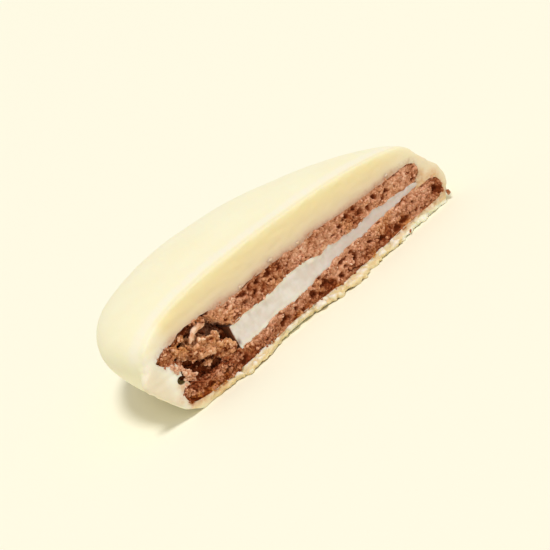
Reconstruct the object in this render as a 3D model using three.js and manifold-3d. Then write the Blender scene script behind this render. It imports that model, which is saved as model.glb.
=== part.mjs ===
// Half of a coated sandwich cookie, lying on its flat base with the cut face towards -Y.
// Millimetres, +Z up, +X along the cut, from the cookie's thick end to its thin end.
// A thick coat of white chocolate wraps two cocoa biscuits with a wedge of cream between them.
// Near the thick end the cut tore a small hollow open, and broken bits of biscuit lie in it.

import * as THREE from "three";
import { mergeVertices } from "three/addons/utils/BufferGeometryUtils.js";
import Module from "manifold-3d";

const wasm = await Module();
wasm.setup();

// Coat. Its dome leans down towards +X, and its widest line, the waist, leans with it.
const COAT_RADIUS = 25.4;
const CROWN_HEIGHT = 12.95;
const CROWN_LEAN = 0.058;
const WAIST_HEIGHT = 5.4;
const WAIST_LEAN = 0.092;
const DOME_POWER = 2.8;
const UNDERCUT = 2.2;
const UNDERCUT_LEAN = 1.1;
const BASE_ROUND = 0.4;
const OUT_OF_ROUND = 0.2;

// The skirt that the coat left where it ran down and set on the tray, along part of the back.
const SKIRT_REACH = 1.1;
const SKIRT_MIDDLE = THREE.MathUtils.degToRad(58);
const SKIRT_HALF_ARC = THREE.MathUtils.degToRad(42);

// Cut. It runs a little in front of the cookie's centre, so slightly more than half is left.
const CUT_Y = -1.9;
const LIP_REACH = 1.1;
const LIP_HEIGHT = 0.85;

// Filling. Each biscuit has its middle at x and z. For each mm towards +X it sinks by its lean and
// its thickness grows by the share in its taper.
const BISCUIT_RADIUS = 23.3;
const BISCUIT_ROUND = 0.8;
const TOP_BISCUIT = { thick: 2.7, x: -0.6, z: 7.15, lean: 0.044, taper: 0 };
const BOTTOM_BISCUIT = { thick: 2.75, x: 1, z: 2.3, lean: -0.026, taper: 0.006 };
const CREAM = { radius: 19.6, x: 1, bulge: 0.3 };
const GAP = 0.12;

// Torn hollow at the thick end.
const HOLLOW = { x: -17.1, z: 6.35, across: 4.4, deep: 5, tall: 3.3, squareness: 4 };

const ROUND_STEPS = 80;
const BIG = 100;

// Solids from three.js geometry, and back.

function solid(geometry) {
  const plain = geometry.clone();
  plain.deleteAttribute("normal");
  plain.deleteAttribute("uv");
  const merged = mergeVertices(plain, 1e-4);
  const mesh = new wasm.Mesh({
    numProp: 3,
    vertProperties: new Float32Array(merged.attributes.position.array),
    triVerts: new Uint32Array(merged.index.array),
  });
  return new wasm.Manifold(mesh);
}

function geometryOf(manifold) {
  const mesh = manifold.getMesh();
  const geometry = new THREE.BufferGeometry();
  geometry.setAttribute("position", new THREE.BufferAttribute(mesh.vertProperties, 3));
  geometry.setIndex(new THREE.BufferAttribute(mesh.triVerts, 1));
  geometry.computeVertexNormals();
  return geometry;
}

function reshape(geometry, move) {
  const position = geometry.attributes.position;
  const point = new THREE.Vector3();
  for (let i = 0; i < position.count; i++) {
    move(point.fromBufferAttribute(position, i));
    position.setXYZ(i, point.x, point.y, point.z);
  }
  return geometry;
}

// A round body about Z from a profile of [radius, height] pairs that starts and ends on the axis.
function turned(profile, steps = ROUND_STEPS) {
  const points = profile.map(([radius, height]) => new THREE.Vector2(radius, height));
  return new THREE.LatheGeometry(points, steps).rotateX(Math.PI / 2);
}

function block(x0, x1, y0, y1, z0, z1) {
  const box = new THREE.BoxGeometry(x1 - x0, y1 - y0, z1 - z0);
  return box.translate((x0 + x1) / 2, (y0 + y1) / 2, (z0 + z1) / 2);
}

// Coat: a unit body, with radius 0 to 1 and height -1 to 1 about the waist, shaped to the real cookie.

function unitCoatProfile() {
  const side = [-1, -0.9, -0.75, -0.55, -0.35, -0.18].map((height) => [1, height]);
  const dome = [];
  const domeSteps = 16;
  for (let i = 0; i <= domeSteps; i++) {
    const turn = (i / domeSteps) * (Math.PI / 2);
    dome.push([Math.cos(turn) ** (2 / DOME_POWER), Math.sin(turn) ** (2 / DOME_POWER)]);
  }
  dome[domeSteps] = [0, 1];
  return [[0, -1], [0.5, -1], ...side, ...dome];
}

function skirtAt(angle) {
  const along = (angle - SKIRT_MIDDLE) / SKIRT_HALF_ARC;
  if (Math.abs(along) >= 1) return 0;
  const ragged = 1 + 0.25 * Math.sin(11 * angle) + 0.15 * Math.sin(23 * angle);
  return SKIRT_REACH * Math.cos((along * Math.PI) / 2) ** 2 * ragged;
}

function toCoat(point) {
  const angle = Math.atan2(point.y, point.x);
  const share = Math.hypot(point.x, point.y);
  const below = Math.max(0, -point.z);
  const undercut = (UNDERCUT - UNDERCUT_LEAN * Math.cos(angle)) * below ** 2;
  const corner = BASE_ROUND * THREE.MathUtils.smoothstep(below, 0.85, 1);
  const skirt = skirtAt(angle) * THREE.MathUtils.smoothstep(below, 0.55, 0.95);
  const wave = OUT_OF_ROUND * (Math.cos(2 * angle + 0.7) + 0.5 * Math.cos(5 * angle));
  const radius = share * (COAT_RADIUS + wave - undercut - corner + skirt);
  const x = radius * Math.cos(angle);
  const waist = WAIST_HEIGHT - WAIST_LEAN * x;
  const crown = CROWN_HEIGHT - CROWN_LEAN * x;
  const z = point.z < 0 ? waist * (1 + point.z) : waist + point.z * (crown - waist);
  point.set(x, radius * Math.sin(angle), z);
}

// What the cut takes away: all in front of it, but for the broken lip that the base coat keeps.

function lipAt(x) {
  const tears = 0.55 + 0.3 * Math.sin(0.9 * x + 1) + 0.2 * Math.sin(2.3 * x) + 0.15 * Math.sin(4.1 * x + 2);
  return LIP_REACH * THREE.MathUtils.clamp(tears, 0.08, 1);
}

function cutAway() {
  const above = block(-BIG, BIG, -BIG, CUT_Y, LIP_HEIGHT, BIG);
  const outline = new THREE.Shape();
  outline.moveTo(-BIG, -BIG);
  outline.lineTo(BIG, -BIG);
  outline.lineTo(BIG, CUT_Y - lipAt(COAT_RADIUS));
  const tears = 64;
  for (let i = 0; i <= tears; i++) {
    const x = COAT_RADIUS * (1 - (2 * i) / tears);
    outline.lineTo(x, CUT_Y - lipAt(x));
  }
  outline.lineTo(-BIG, CUT_Y - lipAt(-COAT_RADIUS));
  const below = new THREE.ExtrudeGeometry(outline, { depth: 2 * BIG, bevelEnabled: false });
  return solid(above).add(solid(below.translate(0, 0, -BIG)));
}

// Filling: each layer is a flat round, with heights -1 to 1 that are stretched between its two faces.

function faceHeight({ thick, x, z, lean, taper }, side, atX) {
  const along = atX - x;
  return z - lean * along + (side * thick * (1 + taper * along)) / 2;
}

function layer(round, floorAt, roofAt) {
  return reshape(round, (point) => {
    point.z = THREE.MathUtils.mapLinear(point.z, -1, 1, floorAt(point.x), roofAt(point.x));
  });
}

// Biscuit: its edge is rolled.

function biscuit(sizes, grow = 0) {
  const radius = BISCUIT_RADIUS + grow;
  const profile = [[0, -1]];
  const edgeSteps = 6;
  for (let i = 0; i <= edgeSteps; i++) {
    const turn = -Math.PI / 2 + (i / edgeSteps) * Math.PI;
    profile.push([radius - BISCUIT_ROUND * (1 - Math.cos(turn)), Math.sin(turn)]);
  }
  profile.push([0, 1]);
  const round = turned(profile).translate(sizes.x, 0, 0);
  const floorAt = (x) => faceHeight(sizes, -1, x) - grow;
  const roofAt = (x) => faceHeight(sizes, 1, x) + grow;
  return solid(layer(round, floorAt, roofAt));
}

// Cream: it fills the wedge between the biscuits, short of their rims.

function cream(grow = 0) {
  const rim = CREAM.radius + grow;
  const face = rim - CREAM.bulge;
  const round = turned([[0, -1], [face, -1], [rim, 0], [face, 1], [0, 1]]).translate(CREAM.x, 0, 0);
  const spare = GAP - grow;
  const floorAt = (x) => faceHeight(BOTTOM_BISCUIT, 1, x) + spare;
  const roofAt = (x) => faceHeight(TOP_BISCUIT, -1, x) - spare;
  return solid(layer(round, floorAt, roofAt));
}

// Broken bits: lumps and flakes with uneven faces.

function lumpy(rough, seed) {
  const ball = new THREE.IcosahedronGeometry(1, 2);
  return reshape(ball, (point) => {
    const bumps =
      Math.sin(3.1 * point.x + seed) * Math.sin(2.7 * point.y + 2 * seed) +
      0.6 * Math.sin(5.3 * point.z + 3 * seed) * Math.cos(4.9 * point.x - seed);
    point.multiplyScalar(1 + rough * bumps);
  });
}

function hollow() {
  const power = HOLLOW.squareness;
  const room = reshape(lumpy(0.05, 1.3), (point) => {
    const size = point.length();
    point.normalize();
    const powers = Math.abs(point.x) ** power + Math.abs(point.y) ** power + Math.abs(point.z) ** power;
    point.multiplyScalar(size * powers ** (-1 / power));
  });
  room.scale(HOLLOW.across, HOLLOW.deep, HOLLOW.tall);
  return solid(room.translate(HOLLOW.x, CUT_Y, HOLLOW.z));
}

// The bits, each placed from the hollow's middle, with half sizes and a turn about Y.
const BITS = {
  broken_lump: { at: [-0.2, 2.3, -0.75], half: [2.7, 2.0, 1.45], turn: 0.12, seed: 0.4, rough: 0.1 },
  broken_shard: { at: [0.1, 1.5, 2.0], half: [1.6, 1.1, 0.36], turn: -0.5, seed: 2.1, rough: 0.1 },
  broken_flake: { at: [-3.5, 1.4, -0.2], half: [1.3, 0.85, 0.36], turn: 1.2, seed: 3.7, rough: 0.1 },
};

function bit({ at, half, turn, seed, rough }) {
  const lump = lumpy(rough, seed).scale(...half).rotateY(turn);
  return lump.translate(HOLLOW.x + at[0], CUT_Y + at[1], HOLLOW.z + at[2]);
}

// The cut half, piece by piece.

const kept = solid(block(-BIG, BIG, CUT_Y, BIG, -BIG, BIG));
const torn = hollow();
const topBiscuit = biscuit(TOP_BISCUIT).intersect(kept).subtract(torn);
const bottomBiscuit = biscuit(BOTTOM_BISCUIT).intersect(kept).subtract(torn);
const creamLayer = cream().intersect(kept).subtract(torn);
const coat = solid(reshape(turned(unitCoatProfile()), toCoat))
  .subtract(cutAway())
  .subtract(biscuit(TOP_BISCUIT, GAP))
  .subtract(biscuit(BOTTOM_BISCUIT, GAP))
  .subtract(cream(GAP))
  .subtract(torn);

const whiteChocolate = new THREE.MeshStandardMaterial({ color: 0xf6e7bd, roughness: 0.45, metalness: 0 });
const cocoaBiscuit = new THREE.MeshStandardMaterial({ color: 0x8a4f34, roughness: 0.95, metalness: 0 });
const creamFilling = new THREE.MeshStandardMaterial({ color: 0xe9e0d2, roughness: 0.7, metalness: 0 });

const cookie = new THREE.Group();

function place(name, geometry, material) {
  const mesh = new THREE.Mesh(geometry, material);
  mesh.name = name;
  cookie.add(mesh);
}

place("coating", geometryOf(coat), whiteChocolate);
place("top_biscuit", geometryOf(topBiscuit), cocoaBiscuit);
place("cream", geometryOf(creamLayer), creamFilling);
place("bottom_biscuit", geometryOf(bottomBiscuit), cocoaBiscuit);
for (const [name, sizes] of Object.entries(BITS)) {
  place(name, bit(sizes), cocoaBiscuit);
}

// The origin is under the middle of the piece's box, on the surface that it lies on.
const box = new THREE.Box3().setFromObject(cookie);
const middle = box.getCenter(new THREE.Vector3());
for (const mesh of cookie.children) {
  mesh.position.set(-middle.x, -middle.y, -box.min.z);
}

export default cookie;
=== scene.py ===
# Half of a white-chocolate-coated sandwich cookie, lying on a pale table with its cut towards the camera.

import math
import random

import bmesh
import bpy
from mathutils import Matrix, Vector, noise


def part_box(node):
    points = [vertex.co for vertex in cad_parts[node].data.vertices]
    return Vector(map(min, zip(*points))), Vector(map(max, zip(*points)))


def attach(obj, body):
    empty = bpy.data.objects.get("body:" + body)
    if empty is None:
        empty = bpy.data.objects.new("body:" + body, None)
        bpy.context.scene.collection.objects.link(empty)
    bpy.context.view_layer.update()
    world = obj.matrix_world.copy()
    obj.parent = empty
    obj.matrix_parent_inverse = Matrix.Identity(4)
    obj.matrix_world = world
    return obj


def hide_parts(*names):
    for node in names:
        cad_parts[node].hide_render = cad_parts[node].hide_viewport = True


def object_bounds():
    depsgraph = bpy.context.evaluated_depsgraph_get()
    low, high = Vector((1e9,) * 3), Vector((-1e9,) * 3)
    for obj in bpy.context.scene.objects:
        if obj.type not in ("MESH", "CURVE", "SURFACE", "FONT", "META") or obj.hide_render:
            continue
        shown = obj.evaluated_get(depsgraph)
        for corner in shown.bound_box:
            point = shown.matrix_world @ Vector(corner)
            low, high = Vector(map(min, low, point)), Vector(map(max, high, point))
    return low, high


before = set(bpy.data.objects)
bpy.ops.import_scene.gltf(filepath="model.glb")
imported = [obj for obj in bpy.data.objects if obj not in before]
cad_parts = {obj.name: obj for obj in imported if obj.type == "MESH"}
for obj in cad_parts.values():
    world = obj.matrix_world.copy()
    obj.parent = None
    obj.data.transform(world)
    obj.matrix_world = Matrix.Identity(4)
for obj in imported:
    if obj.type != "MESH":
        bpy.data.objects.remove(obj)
cad_low, cad_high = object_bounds()


# ---------------------------------------------------------------- camera
# The camera looks down on the cut from the thick end, through a long lens. It is held askew, so that the
# cookie seems to lean up to the right. Distances are in metres.

CAMERA_AZIMUTH = math.radians(-29.9)
CAMERA_ELEVATION = math.radians(19.9)
CAMERA_ROLL = math.radians(28.9)
CAMERA_DISTANCE = 0.42
CAMERA_LENS = 220

# Where the camera aims, right of the cookie's middle and above it, as the camera sees it.
AIM_RIGHT = 0.0046
AIM_UP = -0.0018


def new_object(name, data):
    """An object in the scene."""
    obj = bpy.data.objects.new(name, data)
    bpy.context.scene.collection.objects.link(obj)
    return obj


camera_data = bpy.data.cameras.new("camera")
camera_data.lens = CAMERA_LENS
camera = new_object("camera", camera_data)
bpy.context.scene.camera = camera

camera_back = Vector((
    math.sin(CAMERA_AZIMUTH) * math.cos(CAMERA_ELEVATION),
    -math.cos(CAMERA_AZIMUTH) * math.cos(CAMERA_ELEVATION),
    math.sin(CAMERA_ELEVATION),
))
level = (-camera_back).to_track_quat("-Z", "Y").to_matrix()
held = level @ Matrix.Rotation(-CAMERA_ROLL, 3, "Z")
camera_target = (cad_low + cad_high) / 2 + held @ Vector((AIM_RIGHT, AIM_UP, 0))
camera.matrix_world = Matrix.Translation(camera_target + camera_back * CAMERA_DISTANCE) @ held.to_4x4()


# ---------------------------------------------------------------- layers of the filling
# Two cocoa biscuits with a wedge of cream between them, baked and filled before the coat goes on. Their faces
# lean towards each other, and swell and dip a little. Sizes are in millimetres, about the coat's own axis.

MM = 0.001

# The cut is flat, and lies a little in front of the axis.
CUT = -1.9

# Each layer is round, and sits a little off the axis. A biscuit's edges are rounded off.
TOP_RADIUS = 23.0
TOP_MIDDLE = -1.1
BOTTOM_RADIUS = 23.45
BOTTOM_MIDDLE = 0.6
BISCUIT_ROUND = 1.25
CREAM_RADIUS = 19.6
CREAM_MIDDLE = 1

# Behind the thick end the coat's foot is tucked in, and the bottom biscuit is smaller there too.
TUCKED = 2.0
BISCUIT_TUCKED = 2.3
TUCKED_MIDDLE = math.radians(157)
TUCKED_HALF_ARC = math.radians(24)

# The height of each face at places along the cut, left to right.
TOP_ROOF = ((-26, 8.7), (-24, 8.9), (-23, 9.2), (-22, 9.5), (-20, 9.6), (-18, 9.5), (-15, 9.35),
            (-12, 9.3), (-11, 9.1), (-9, 8.8), (-8, 8.8), (-6, 9.15), (-4, 9.0), (-1, 8.85), (1, 8.5),
            (3, 8.75), (5, 8.55), (8, 8.15), (9, 8.2), (12, 7.95), (15, 7.85), (18, 7.85), (20, 7.7),
            (24, 7.4))
TOP_FLOOR = ((-26, 8.2), (-24, 7.9), (-23, 7.15), (-22, 6.5), (-20, 6.2), (-13, 5.9), (-10, 6.15),
             (-8, 5.95), (-6, 5.95), (-3, 6.25), (-2, 6.4), (0, 6.25), (2, 5.9), (3.4, 5.6), (4.9, 5.85),
             (6, 5.55), (8, 5.42), (10, 5.3), (12, 5.6), (13, 5.6), (15, 5.3), (17, 5.2), (18, 5.0),
             (20, 4.9), (24, 4.9))
BOTTOM_ROOF = ((-26, 4.2), (-22.6, 4.2), (-21, 3.7), (-18.5, 2.5), (-16, 2.7), (-12, 2.9), (-9, 3.0),
               (-6, 3.35), (-3, 3.2), (-1, 3.3), (0.2, 3.3), (1.5, 3.7), (3, 3.6), (5, 4.0), (7, 4.1),
               (10, 4.0), (15, 4.2), (18, 4.35), (21, 4.35), (22.5, 4.2), (25, 4.0))
BOTTOM_FLOOR = ((-26, 1.5), (-22, 1.2), (-19, 0.75), (-16.5, 0.6), (-12, 0.65), (-9, 0.65), (-7, 0.9),
                (-5, 1.2), (-2, 1.05), (0, 0.9), (2, 0.7), (4, 0.5), (6, 0.55), (9, 0.7), (12, 0.9),
                (16, 0.95), (19, 1.15), (22, 1.05), (25, 1.3))


def smooth(low, high, value):
    """0 at the low value, 1 at the high one, and eased between them."""
    share = min(1, max(0, (value - low) / (high - low)))
    return share * share * (3 - 2 * share)


def along(x, places):
    """The size at x, eased from each place in the list to the next."""
    for (x0, size0), (x1, size1) in zip(places, places[1:]):
        if x <= x1:
            return size0 + (size1 - size0) * smooth(x0, x1, x)
    return places[-1][1]


# Everything uneven comes out the same each time.
noise.seed_set(3)


def wander(x, size, step, seed):
    """A line's own unevenness."""
    return size * noise.noise(Vector((x / step, seed, 0)))


def top_roof(x):
    return along(x, TOP_ROOF) + wander(x, 0.12, 0.8, 4.7)


def top_floor(x):
    return along(x, TOP_FLOOR) + wander(x, 0.12, 0.9, 7.9)


def bottom_roof(x):
    return along(x, BOTTOM_ROOF) + wander(x, 0.12, 0.9, 11.3)


def bottom_floor(x):
    return along(x, BOTTOM_FLOOR) + wander(x, 0.12, 1.3, 17.1)


def tucked_at(angle):
    """How far a place round the side is tucked in, 0 to 1. Nothing is tucked in at the cut."""
    share = math.remainder(angle - TUCKED_MIDDLE, 2 * math.pi) / TUCKED_HALF_ARC
    side = 25 * math.sin(angle)
    return math.exp(-(share ** 2)) * smooth(CUT + 0.2, CUT + 3, side)


def rim(middle, radius, tucked=0):
    """A round layer's rim from the right end of the cut, round the back, to its left end."""
    steps = 90
    dip = math.asin(CUT / radius)
    points = []
    for i in range(steps + 1):
        turn = dip + (math.pi - 2 * dip) * i / steps
        reach = radius - tucked * tucked_at(turn)
        points.append(Vector((middle + reach * math.cos(turn), reach * math.sin(turn), 0)))
    return points


def evenly(route, step):
    """The route with points a step apart."""
    points, carried = [route[0]], 0.0
    for start, end in zip(route, route[1:]):
        length = (end - start).length
        while carried + length >= step:
            start = start.lerp(end, (step - carried) / length)
            points.append(start)
            length = (end - start).length
            carried = 0.0
        carried += length
    return points


def layer(front, back, rows, floor_at, roof_at, middle, round_off):
    """A closed layer whose outline from above is the front route and then the back one. It is made with
    heights of -1 to 1, and then each point goes to its place between the floor and the roof. Its edges are
    rounded off, except well inside the rim."""
    inner = 20
    bm = bmesh.new()
    face = bm.faces.new([bm.verts.new((p.x, p.y, -1)) for p in front + back])
    raised = bmesh.ops.extrude_face_region(bm, geom=[face])["geom"]
    bmesh.ops.translate(bm, vec=(0, 0, 2), verts=[v for v in raised if isinstance(v, bmesh.types.BMVert)])
    uprights = [e for e in bm.edges if abs(e.verts[0].co.z - e.verts[1].co.z) > 1]
    bmesh.ops.subdivide_edges(bm, edges=uprights, cuts=rows, use_grid_fill=True)
    bmesh.ops.recalc_face_normals(bm, faces=bm.faces)
    for v in bm.verts:
        height = v.co.z
        away = Vector((v.co.x - middle, v.co.y, 0))
        tuck = round_off * (1 - math.sqrt(max(0, 1 - height ** 2)))
        v.co -= away.normalized() * tuck * min(1, away.length / inner) ** 8
        v.co.z = floor_at(v.co.x) + (height + 1) / 2 * (roof_at(v.co.x) - floor_at(v.co.x))
    return bm


# The hollow where the top biscuit and the cream are torn away at the thick end: its left wall, how deep it
# goes behind the cut, and where the biscuit and the cream start again.
HOLLOW_LEFT = -21.3
HOLLOW_DEEP = 4.6
TORN_BISCUIT = -13.9
TORN_CREAM = -13.05


def torn_front(left, right, torn):
    """The front route of a layer that is broken back between the hollow's left wall and its own torn end."""
    fine, bend = 0.01, 0.3
    count = round((right - left) / fine)
    route = []
    for i in range(count + 1):
        x = left + i * fine
        back = HOLLOW_DEEP * smooth(HOLLOW_LEFT - bend, HOLLOW_LEFT + bend, x)
        back *= smooth(torn + bend, torn - bend, x)
        route.append(Vector((x, CUT + back, 0)))
    return route


# ---------------------------------------------------------------- coat
# A thick coat of white chocolate, poured over the sandwich and set on a tray. It has a smooth dome, rounded
# shoulders and an undercut foot. The knife left a flat face with a soft upper edge and a torn lip below.

COAT_RADIUS = 25.4

# The heights of the crown and of the widest place, and how much each drops for a millimetre to the right.
CROWN = 12.95
CROWN_LEAN = 0.058
WAIST = 5.4
WAIST_LEAN = 0.092

# The dome's profile is a superellipse: 2 would be an ellipse, and more makes fuller shoulders.
DOME_POWER = 2.8

# Below the waist the side draws in, and the base has a rounded corner. Both are less at the thin end.
UNDERCUT = 2.2
UNDERCUT_LEAN = 1.1
BASE_ROUND = 0.7
BASE_ROUND_LEAN = 0.3
OUT_OF_ROUND = 0.2

# A skirt of chocolate that ran down and set on the tray behind.
SKIRT = 1.1
SKIRT_MIDDLE = math.radians(58)
SKIRT_HALF_ARC = math.radians(42)

# How much is missing from the coat at the cream's thin end, from its foot, -1, up to the crown, 1.
THIN_END = ((-1, 1.3), (-0.6, 1.1), (-0.33, 0.75), (0, 0.5), (0.15, 0.75), (0.35, 1.5), (0.5, 1.6),
            (0.58, 1.2), (0.68, 0.2), (0.78, -0.9), (0.88, -0.6), (1, 0))

# How far the coat's torn edge was drawn out at the thick end, by height.
DRAWN_OUT = ((0, 0), (2, 0.1), (3.2, 0.25), (5, 0.75), (6, 1.2), (6.8, 1.3), (7.3, 1.1), (8.2, 0),
             (8.9, -0.25), (9.7, -0.2), (10.8, 0))


def skirt_at(angle):
    """How far the ragged skirt reaches out at a place round the side."""
    share = (angle - SKIRT_MIDDLE) / SKIRT_HALF_ARC
    if abs(share) >= 1:
        return 0
    ragged = 1 + 0.25 * math.sin(11 * angle) + 0.15 * math.sin(23 * angle)
    return SKIRT * math.cos(share * math.pi / 2) ** 2 * ragged


def to_coat(point):
    """The real cookie's surface from a unit body: a round one with heights -1 to 1 about the waist."""
    angle = math.atan2(point.y, point.x)
    below = max(0, -point.z)
    undercut = (UNDERCUT - UNDERCUT_LEAN * math.cos(angle)) * below ** 2
    undercut += TUCKED * tucked_at(angle) * below ** 1.2
    corner = (BASE_ROUND - BASE_ROUND_LEAN * math.cos(angle)) * smooth(0.8, 1, below)
    skirt = skirt_at(angle) * smooth(0.55, 0.95, below)
    wave = OUT_OF_ROUND * (math.cos(2 * angle + 0.7) + 0.5 * math.cos(5 * angle))
    thin = along(point.z, THIN_END) * math.exp(-((angle / 0.6) ** 2))
    radius = math.hypot(point.x, point.y) * (COAT_RADIUS + wave - undercut - corner + skirt - thin)
    x = radius * math.cos(angle)
    waist = WAIST - WAIST_LEAN * x
    crown = CROWN - CROWN_LEAN * x
    z = waist * (1 + point.z) if point.z < 0 else waist + point.z * (crown - waist)
    return Vector((x, radius * math.sin(angle), z))


def whole_coat():
    """The coat before it is cut: its profile spun about the axis, and then brought to the real size."""
    side_steps, dome_steps, round_steps = 12, 40, 240
    bm = bmesh.new()
    profile = [(0, -1), (0.5, -1)] + [(1, -1 + i / side_steps) for i in range(side_steps)]
    for i in range(dome_steps + 1):
        turn = i / dome_steps * math.pi / 2
        profile.append((abs(math.cos(turn)) ** (2 / DOME_POWER), math.sin(turn) ** (2 / DOME_POWER)))
    profile[-1] = (0, 1)
    line = [bm.verts.new((radius, 0, height)) for radius, height in profile]
    edges = [bm.edges.new(pair) for pair in zip(line, line[1:])]
    bmesh.ops.spin(bm, geom=line + edges, axis=(0, 0, 1), angle=2 * math.pi, steps=round_steps,
                   use_merge=True)
    bmesh.ops.remove_doubles(bm, verts=bm.verts, dist=1e-5)
    for v in bm.verts:
        v.co = to_coat(v.co)
    bmesh.ops.recalc_face_normals(bm, faces=bm.faces)
    return bm


def cut_open(bm, at):
    """Takes away what lies in front of the cut, and closes the cut with a flat face."""
    geom = bm.verts[:] + bm.edges[:] + bm.faces[:]
    bmesh.ops.bisect_plane(bm, geom=geom, plane_co=(0, at, 0), plane_no=(0, -1, 0), clear_outer=True)
    bmesh.ops.holes_fill(bm, edges=[e for e in bm.edges if e.is_boundary], sides=0)


def new_mesh(name, bm):
    """A mesh with what was worked in bmesh, which is then let go."""
    mesh = bpy.data.meshes.new(name)
    bm.to_mesh(mesh)
    bm.free()
    return mesh


def modified(bm, kind, **settings):
    """The mesh as one modifier leaves it."""
    mesh = new_mesh("work", bm)
    work = new_object("work", mesh)
    modifier = work.modifiers.new("work", kind)
    for name, value in settings.items():
        setattr(modifier, name, value)
    result = bmesh.new()
    result.from_mesh(work.evaluated_get(bpy.context.evaluated_depsgraph_get()).to_mesh())
    bpy.data.objects.remove(work)
    bpy.data.meshes.remove(mesh)
    return result


def without(bm, tool):
    """The mesh less the tool's body."""
    bmesh.ops.triangulate(tool, faces=tool.faces)
    mesh = new_mesh("tool", tool)
    cutter = new_object("tool", mesh)
    bmesh.ops.triangulate(bm, faces=bm.faces)
    result = modified(bm, "BOOLEAN", object=cutter, operation="DIFFERENCE", solver="MANIFOLD")
    bpy.data.objects.remove(cutter)
    bpy.data.meshes.remove(mesh)
    return result


def placed(x, depth, z):
    """A point at a depth behind the cut."""
    return Vector((x, CUT + depth, z))


def add_egg(bm, at, half, turn=(0, 0, 0), detail=3):
    """An egg-shaped body, joined into the mesh."""
    turned = Matrix.Translation(at)
    for angle, axis in zip(turn, "XYZ"):
        turned = turned @ Matrix.Rotation(math.radians(angle), 4, axis)
    sized = turned @ Matrix.Diagonal((*half, 1))
    return bmesh.ops.create_icosphere(bm, subdivisions=detail, radius=1, matrix=sized)["verts"]


# How far the base still stands out in front of the cut as a lip, and how high its edge is chipped away from
# below, at places along the cut.
LIP_REACH = ((-22, 0.0), (-18.7, 0.1), (-15.5, 0.6), (-13.6, 1.3), (-11, 1.2), (-9.5, 0.9), (-8, 0.3),
             (-6, -0.1), (-3, 0.0), (-1, 0.2), (1, 0.9), (2.6, 1.5), (3.4, 1.0), (4.4, 1.75), (6.2, 2.0),
             (7.3, 1.5), (8.2, 0.9), (9.4, 1.1), (11, 0.7), (13.9, 0.8), (15.8, 0.45), (17, 0.1),
             (20, 0.1), (24, -0.1))
CHIPPED = ((-10, 0.0), (-7.5, 0.1), (-5.5, 0.35), (-3, 0.3), (-1.2, 0.15), (0.3, 0.0))


def lip_reach(x):
    """How far the lip's ragged edge is in front of the cut."""
    return along(x, LIP_REACH) + wander(x, 0.3, 0.7, 2.2) + wander(x, 0.25, 0.28, 5.2)


def add_lip(bm):
    """A thin ragged tongue of chocolate along the foot of the cut. It starts deep inside the coat's base."""
    left, right, deep = -21.2, 23.4, 1.5
    thick, thinner = 0.6, 0.15
    grid = bmesh.ops.create_grid(bm, x_segments=300, y_segments=12, size=0.5)["verts"]
    for v in grid:
        x = left + (v.co.x + 0.5) * (right - left)
        share = 0.5 - v.co.y
        v.co = (x, CUT + deep - share * (deep + max(lip_reach(x), -1)), 0)
    faces = list(dict.fromkeys(f for v in grid for f in v.link_faces))
    raised = bmesh.ops.extrude_face_region(bm, geom=faces)["geom"]
    for v in raised:
        if isinstance(v, bmesh.types.BMVert):
            out = max(0, CUT - v.co.y)
            v.co.z = thick - thinner * out + 0.12 * noise.noise(v.co * 1.6) + wander(v.co.x, 0.15, 0.8, 9.4)
    bmesh.ops.recalc_face_normals(bm, faces=bm.faces)


# Lumps of crumbled chocolate on the lip: place along the cut, reach in front of it, height and size.
LUMPS = ((1.9, 1.0, 0.5, 0.62), (-0.3, 0.6, 0.6, 0.48), (1.2, 0.6, 0.6, 0.42), (3.2, 0.7, 0.5, 0.42),
         (4.9, 1.0, 0.85, 0.7), (5.6, 1.3, 0.5, 0.6), (6.4, 1.1, 0.65, 0.55), (7.3, 0.9, 0.5, 0.45),
         (4.1, 1.4, 0.4, 0.5), (-4.4, 0.3, 0.7, 0.42), (-9.7, 0.7, 0.4, 0.45), (-11.8, 0.8, 0.4, 0.5),
         (-13.4, 0.8, 0.4, 0.48), (-15.0, 0.5, 0.45, 0.4), (-16.2, 0.35, 0.4, 0.34), (-18.1, 0.2, 0.45, 0.3),
         (9.6, 0.8, 0.45, 0.4), (11.6, 0.6, 0.45, 0.36), (13.9, 0.5, 0.45, 0.36))


def add_lumps(bm):
    """The lumps above, and small ones scattered along the lip."""
    small_lumps = 60
    dice = random.Random(11)
    lumps = list(LUMPS)
    for number in range(small_lumps):
        x = dice.uniform(-15, 14)
        lumps.append((x, max(0.1, lip_reach(x)) * dice.uniform(0.1, 1), dice.uniform(0.35, 0.65),
                      dice.uniform(0.18, 0.34)))
    for x, reach, z, size in lumps:
        half = [size * dice.uniform(0.8, 1.2), size * dice.uniform(0.7, 1), size * dice.uniform(0.6, 0.9)]
        turn = [dice.uniform(-40, 40) for axis in "xyz"]
        for v in add_egg(bm, placed(x, -reach, z), half, turn):
            v.co += 0.45 * size * noise.noise_vector(v.co * 1.9)
            v.co.z = max(0, v.co.z)


def lip_at(p):
    """Where the lip is, 0 to 1."""
    return smooth(CUT + 0.35, CUT + 0.05, p.y) * smooth(1.35, 0.95, p.z) * smooth(-20.5, -18.5, p.x)


def knob_at(p):
    """Crumbled chocolate on the lip: 1 on top of a knob, 0 in the gaps between knobs."""
    near, seeds = noise.voronoi(0.75 * p + 0.5 * noise.noise_vector(0.8 * p))
    knob = smooth(0, 0.6, near[1] - near[0]) * (0.65 + 0.35 * noise.cell(seeds[0] * 5.1))
    return knob + 0.25 * noise.noise(p * 2.6)


def soften(bm, verts):
    """One round of softening."""
    bmesh.ops.smooth_vert(bm, verts=verts, factor=0.5, use_axis_x=True, use_axis_y=True, use_axis_z=True)


# The coat, the lip and the lumps are made one, with points a grain apart. Then rounds of softening melt their
# edges: fewer on the lip, which stays sharp, and more on the upper edge at the thick end.
COAT_GRAIN = 0.206
MELTED = 11
LIP_MELTED = 2
END_MELTED = 18

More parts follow.
